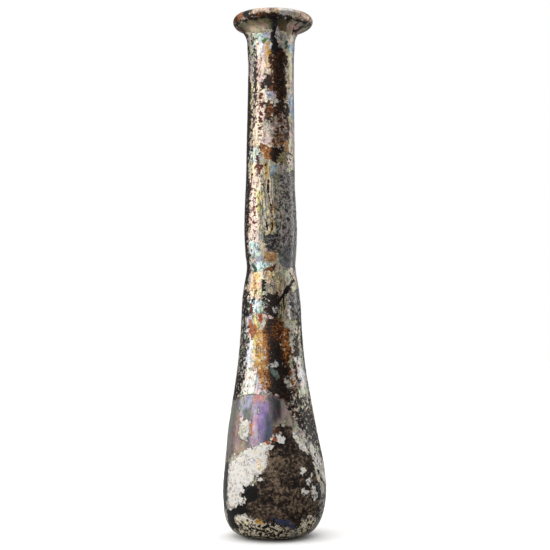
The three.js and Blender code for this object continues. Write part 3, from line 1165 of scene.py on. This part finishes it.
def film_colour(bench, place, c, mask, rim):
    """Pearly film in the stored tint, drifting between warm and cool, with a painted shadow line along each
    flake's edge and painted light and shade of foil crinkles.
    """
    tint = bench.blend(mask["film"], c.pearl, bench.reading("colour_film", "Color"))
    drift = bench.noise(place, 1.6, 5.0, 0.7, (1, 1, 0.45))
    tint = bench.stained(tint, drift, 0.54, 0.64, 0.4, c.steel)
    tint = bench.stained(tint, drift, 0.48, 0.36, 0.55, c.tan)
    flecks = bench.noise(place, 1.1, 5.0, 0.75, (0.8, 0.8, 1.2))
    tint = bench.stained(tint, flecks, 0.5, 0.56, 0.6, c.cream)
    # Painted shadow: a dark line along the edges of the film's flakes.
    tint = bench.blend(rim["film"] * 0.6, tint, c.umber)
    tint = iridescent(bench, place, tint, 0.6)
    # Painted light and shade: the film is made lighter and darker in the pattern of foil crinkles.
    crinkle_shade = bench.noise(place, 0.8, 6.0, 0.75, (1, 1, 0.7))
    grime = bench.noise(place, 1.5, 6.0, 0.8, (1.3, 1.3, 0.6))
    tint = bench.shaded(tint, bench.step(crinkle_shade, 0.36, 0.5), 0.32)
    return bench.shaded(tint, bench.step(grime, 0.6, 0.5), 0.3)


def strands(bench, place, c, paint):
    """Hair-fine drawn lines, dark and pale, running up the wall where they are stored."""
    share = bench.reading("strands")
    for size, tone, depth in ((0.9, c.butter, 0.75), (0.55, c.umber, 0.9)):
        line = bench.noise(bench.bent(place, 2.0, 0.35), size, 3.0, 0.6, (1.3, 1.3, 0.09))
        line = bench.step(abs(line - 0.5), 0.055, 0.015)
        paint = bench.blend(line * share * depth, paint, tone)
    return paint


def enamel_colour(bench, place, c):
    """Brown enamel, mottled from near black through chestnut to amber where it is thin."""
    mottle = bench.noise(place, 0.62, 6.0, 0.85)
    edge = bench.step(bench.reading("level_enamel"), 1.6, -0.4)
    value = mottle + edge * 0.05 + bench.reading("warmth") * 0.2 - 0.07
    stops = [(0.41, c.soot), (0.50, c.umber), (0.57, c.chestnut), (0.65, c.amber), (0.76, c.tan)]
    return bench.add("ShaderNodeValToRGB", {"stops": stops}, {"Fac": value}, "Color")


def glass_colour(bench, place, c):
    """Smooth glass in its stored tint, with streaks, and with dark threads that swirl where stored."""
    tint = bench.reading("colour_glass", "Color")
    cloud = bench.noise(place, 1.1, 6.0, 0.75, (1, 1, 0.5))
    tint = bench.shaded(tint, bench.step(cloud, 0.3, 0.68), 0.55, 1.3)
    tint = iridescent(bench, place, tint, 1.0)
    share = bench.reading("threads")
    for size, turns, depth in ((4.6, 56, 1.0), (1.8, 26, 0.6)):
        swirl = bench.noise(bench.bent(place, size * 0.7, size * 0.45), size, 2.0, 0.5)
        wave = (swirl * turns).math("SINE")
        tint = bench.blend(bench.step(wave, -0.2, -0.9) * share * (0.6 * depth), tint, c.fog)
        tint = bench.blend(bench.step(wave, 0.1, 0.8) * share * (0.8 * depth), tint, c.soot)
    return tint


def crust_colour(bench, place, c, specks, speck):
    """Chalk with ochre and rosy stains, cracked, soiled and pitted in places, and yellower at the foot."""
    stain = bench.noise(place, 1.7, 6.0, 0.75)
    soil = bench.noise(place, 0.9, 6.0, 0.75)
    near_foot = bench.step(bench.along(place, "Z"), 7.5, 5)
    chalk = bench.blend(near_foot * 0.5, c.chalk, c.butter)
    chalk = bench.stained(chalk, stain, 0.54, 0.64, 0.6, c.butter)
    chalk = bench.stained(chalk, stain, 0.46, 0.34, 0.6, c.beige)
    crack = bench.cells(bench.bent(place, 0.8, 0.4), 1.5, "DISTANCE_TO_EDGE")
    chalk = bench.blend(bench.step(crack, 0.05, 0.015) * bench.step(stain, 0.5, 0.42) * 0.7, chalk, c.soil)
    chalk = bench.shaded(chalk, bench.step(soil, 0.34, 0.5), 0.42)
    pitted = bench.step(bench.noise(place, 4.0, 3.0) + bench.reading("specks"), 0.74, 0.8)
    return bench.blend(specks * pitted, chalk, speck)


def earth_colour(bench, place, c):
    """Granular soil: each grain has its own brown, and dark gaps lie between clusters."""
    value = bench.noise(place, 1.0, 6.0, 0.85) + (bench.noise(place, 5.0, 2.0) - 0.5) * 0.4 + 0.008
    for size, weight in ((0.9, 0.09), (0.42, 0.12)):
        grain = bench.cells(bench.bent(place, 0.6, 0.35), size, output="Color")
        value = value + (bench.along(grain, "Y") - 0.5) * weight
    value = value + bench.reading("warmth") * 0.1
    stops = [(0.40, c.soot), (0.48, c.umber), (0.55, c.soil), (0.65, c.sand), (0.75, c.grit)]
    return bench.add("ShaderNodeValToRGB", {"stops": stops}, {"Fac": value}, "Color")


def weathered_glass(c):
    """The flask's material: film, bare glass, enamel, earth, pitch and crust, one over another, with painted
    shadow lines along the borders of the film, the glass and the crust.
    """
    material = bpy.data.materials.new("weathered_glass")
    bench = cleared(material)
    place = bench.reading("rest", "Vector")
    # rim holds the painted shadow lines along each coat's border.
    mask, rim = coat_masks(bench, place)
    specks = speck_mask(bench, place)
    inside = bench.reading("inside")
    fine = bench.noise(place, 0.35, 4.0, 0.7)

    speck = bench.blend(bench.reading("rust") * bench.step(fine, 0.36, 0.5), c.soot, c.rust)
    grain = bench.noise(place, 0.6, 6.0, 0.8)
    accent = bench.shaded(bench.reading("colour_accent", "Color"), bench.step(grain, 0.36, 0.6), 0.3, 1.25)
    paint = film_colour(bench, place, c, mask, rim)
    paint = strands(bench, place, c, paint)
    paint = bench.blend(mask["glass"], bench.blend(specks, paint, speck), glass_colour(bench, place, c))
    # Painted shadow: a dark line along the border of the bare glass.
    paint = bench.blend(rim["glass"] * 0.6, paint, c.soot)
    paint = bench.blend(mask["enamel"], paint, enamel_colour(bench, place, c))
    paint = bench.blend(mask["earth"], paint, earth_colour(bench, place, c))
    paint = bench.blend(mask["pitch"], paint, c.soot)
    paint = bench.blend(mask["crust"], paint, crust_colour(bench, place, c, specks, speck))
    # Painted shadow: a dark line along the crust's border.
    paint = bench.blend(rim["crust"] * 0.75, paint, c.umber)
    paint = bench.blend(mask["accent"], paint, accent)
    paint = bench.blend(mask["crack"], paint, c.soot)
    lining = bench.blend(bench.step(bench.noise(place, 3.0, 5.0, 0.7), 0.4, 0.6), c.dusk, c.sage)
    paint = bench.blend(inside, paint, lining)

    cover = mask["crust"].most(mask["earth"]).most(mask["pitch"]).most(mask["accent"])
    dull = mask["crust"].most(mask["earth"] * 0.9).most(inside)
    dark = specks.most(mask["enamel"]).most(mask["pitch"]).most(mask["crack"]).most(mask["glass"])
    foil = (1 - dull) * (1 - dark)
    height = mask["crust"] * 0.5 + mask["earth"] * (0.4 + fine * 0.8) + mask["enamel"] * 0.3
    height = height - specks * 0.4 - mask["glass"] * 0.4 - mask["crack"] * 0.5
    height = height + fine * (1 - mask["glass"] * 0.8) * 0.6
    bumps = {"Height": height, "Strength": BUMPS, "Distance": BUMP_DEPTH * MM}
    bump = bench.add("ShaderNodeBump", {}, bumps)
    finish = {
        "Base Color": paint,
        "Metallic": foil * FOIL_METAL,
        "Roughness": GLOSS + dull * DULLNESS + foil * 0.06 + (fine - 0.5) * 0.25,
        "Normal": bump,
        "Specular IOR Level": SHEEN,
    }
    skin = bench.add("ShaderNodeBsdfPrincipled", {}, finish)
    clear_finish = {
        "Base Color": (*c.glass, 1.0),
        "Roughness": CLEAR_GLOSS,
        "IOR": CLEAR_INDEX,
        "Transmission Weight": 1.0,
    }
    clear = bench.add("ShaderNodeBsdfPrincipled", {}, clear_finish)
    bare = mask["glass"] * (1 - mask["enamel"]) * (1 - cover) * (1 - inside) * CLEAR_SHARE
    skin = bench.add("ShaderNodeMixShader", {}, {0: bare, 1: skin, 2: clear})
    bench.add("ShaderNodeOutputMaterial", {}, {"Surface": skin})
    return material


# ---------------------------------------------------------------------------------------------
# Operators
# ---------------------------------------------------------------------------------------------


class UNGUENTARIUM_OT_vessel(bpy.types.Operator):
    """Make the blown flask with its weathered surface"""

    bl_idname = "unguentarium.vessel"
    bl_label = "Glass Vessel"

    def execute(self, context):
        scene = context.scene
        mesh, place, angle, inside = wall_mesh(scene.unguentarium_wall)
        colours, studio = scene.unguentarium_colours, scene.unguentarium_studio
        store_coats(mesh, place, angle, inside, colours, studio)
        flask = place_in_scene("glass_flask", mesh)
        raise_coats(flask, scene.unguentarium_relief, weathered_glass(colours))
        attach(flask, "root")
        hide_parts(CAD_NODE)
        return {"FINISHED"}


FLOOR_HALF = 3.0  # half the floor's width, in metres
CEILING_SPREAD = 80  # degrees of sky that the light overhead fills
SOFTBOXES = [
    # name, azimuth (0 is the camera's side, positive to the right), distance, height, size, power
    ("left softbox", -78, 0.42, 0.12, (0.4, 0.6), 1.7),
    ("right strip", 112, 0.45, 0.12, (0.16, 0.6), 0.9),
    ("front softbox", -20, 0.7, 0.3, (0.5, 0.5), 1.5),
]


def aim_at(thing, target):
    """Turns a light or the camera to look at a place."""
    thing.rotation_euler = (Vector(target) - thing.location).to_track_quat("-Z", "Y").to_euler()


def add_softbox(name, azimuth, distance, height, size, power):
    """A soft area light aimed at the flask's middle."""
    data = bpy.data.lights.new(name, "AREA")
    data.shape = "RECTANGLE"
    data.size, data.size_y = size
    data.energy = power
    lamp = place_in_scene(name, data)
    turn = math.radians(azimuth)
    lamp.location = (distance * math.sin(turn), -distance * math.cos(turn), height)
    aim_at(lamp, (0, 0, HEIGHT * MM / 2))


def add_ceiling(studio):
    """A very soft light from straight above, which keeps the floor evenly pale out to its far edge."""
    data = bpy.data.lights.new("ceiling", "SUN")
    data.energy = studio.ceiling
    data.angle = math.radians(CEILING_SPREAD)
    place_in_scene("ceiling", data)


def add_floor(studio):
    """The pale floor, which gives back less light than it shows, so the flask's sides stay deep."""
    mesh = bpy.data.meshes.new("floor")
    corners = [(x * FLOOR_HALF, y * FLOOR_HALF, 0) for x, y in ((-1, -1), (1, -1), (1, 1), (-1, 1))]
    mesh.from_pydata(corners, [], [(0, 1, 2, 3)])
    material = bpy.data.materials.new("floor")
    bench = cleared(material)
    pale = bench.add("ShaderNodeBsdfDiffuse", {}, {"Color": (*studio.floor, 1)})
    dim_tint = (*(c * studio.bounce for c in studio.floor), 1)
    dim = bench.add("ShaderNodeBsdfDiffuse", {}, {"Color": dim_tint})
    seen = bench.add("ShaderNodeLightPath", output="Is Camera Ray")
    skin = bench.add("ShaderNodeMixShader", {}, {0: seen, 1: dim, 2: pale})
    bench.add("ShaderNodeOutputMaterial", {}, {"Surface": skin})
    mesh.materials.append(material)
    place_in_scene("floor", mesh)


def add_room(scene, studio):
    """A white room that looks bright to the camera and lights the flask only dimly."""
    scene.world = bpy.data.worlds.new("room")
    bench = cleared(scene.world)
    seen = bench.add("ShaderNodeLightPath", output="Is Camera Ray")
    strength = seen * (1.0 - studio.fill) + studio.fill
    glow = bench.add("ShaderNodeBackground", {}, {"Color": (1, 1, 1, 1), "Strength": strength})
    bench.add("ShaderNodeOutputWorld", {}, {"Surface": glow})


def add_camera(scene, studio):
    """A camera that looks a little upwards at the flask from the front."""
    data = bpy.data.cameras.new("camera")
    data.lens = studio.lens
    data.clip_start = 0.01
    scene.camera = place_in_scene("camera", data)
    scene.camera.location = (studio.aside, -studio.distance, studio.eye)
    aim_at(scene.camera, (studio.aside, 0, studio.aim))


class UNGUENTARIUM_OT_stage(bpy.types.Operator):
    """Make the floor, the soft light and the camera"""

    bl_idname = "unguentarium.stage"
    bl_label = "Studio"

    def execute(self, context):
        scene = context.scene
        studio = scene.unguentarium_studio
        add_floor(studio)
        add_room(scene, studio)
        for softbox in SOFTBOXES:
            add_softbox(*softbox)
        add_ceiling(studio)
        add_camera(scene, studio)
        scene.view_settings.view_transform = "Standard"
        return {"FINISHED"}


class UNGUENTARIUM_PT_sidebar(bpy.types.Panel):
    """Lists the flask's pieces in the 3D view's sidebar"""

    bl_idname = "UNGUENTARIUM_PT_sidebar"
    bl_label = "Unguentarium"
    bl_space_type = "VIEW_3D"
    bl_region_type = "UI"
    bl_category = "Unguentarium"

    def draw(self, context):
        for operator in (UNGUENTARIUM_OT_vessel, UNGUENTARIUM_OT_stage):
            self.layout.operator(operator.bl_idname)
        for name, group in SETTINGS.items():
            box = self.layout.box()
            for field in group.__annotations__:
                box.prop(getattr(context.scene, name), field)


CLASSES = (*SETTINGS.values(), UNGUENTARIUM_OT_vessel, UNGUENTARIUM_OT_stage, UNGUENTARIUM_PT_sidebar)


def register():
    for cls in CLASSES:
        bpy.utils.register_class(cls)
    for name, group in SETTINGS.items():
        setattr(bpy.types.Scene, name, PointerProperty(type=group))


def unregister():
    for name in SETTINGS:
        delattr(bpy.types.Scene, name)
    for cls in reversed(CLASSES):
        bpy.utils.unregister_class(cls)


def main():
    register()
    bpy.ops.unguentarium.vessel()
    bpy.ops.unguentarium.stage()


if __name__ == "__main__":
    main()
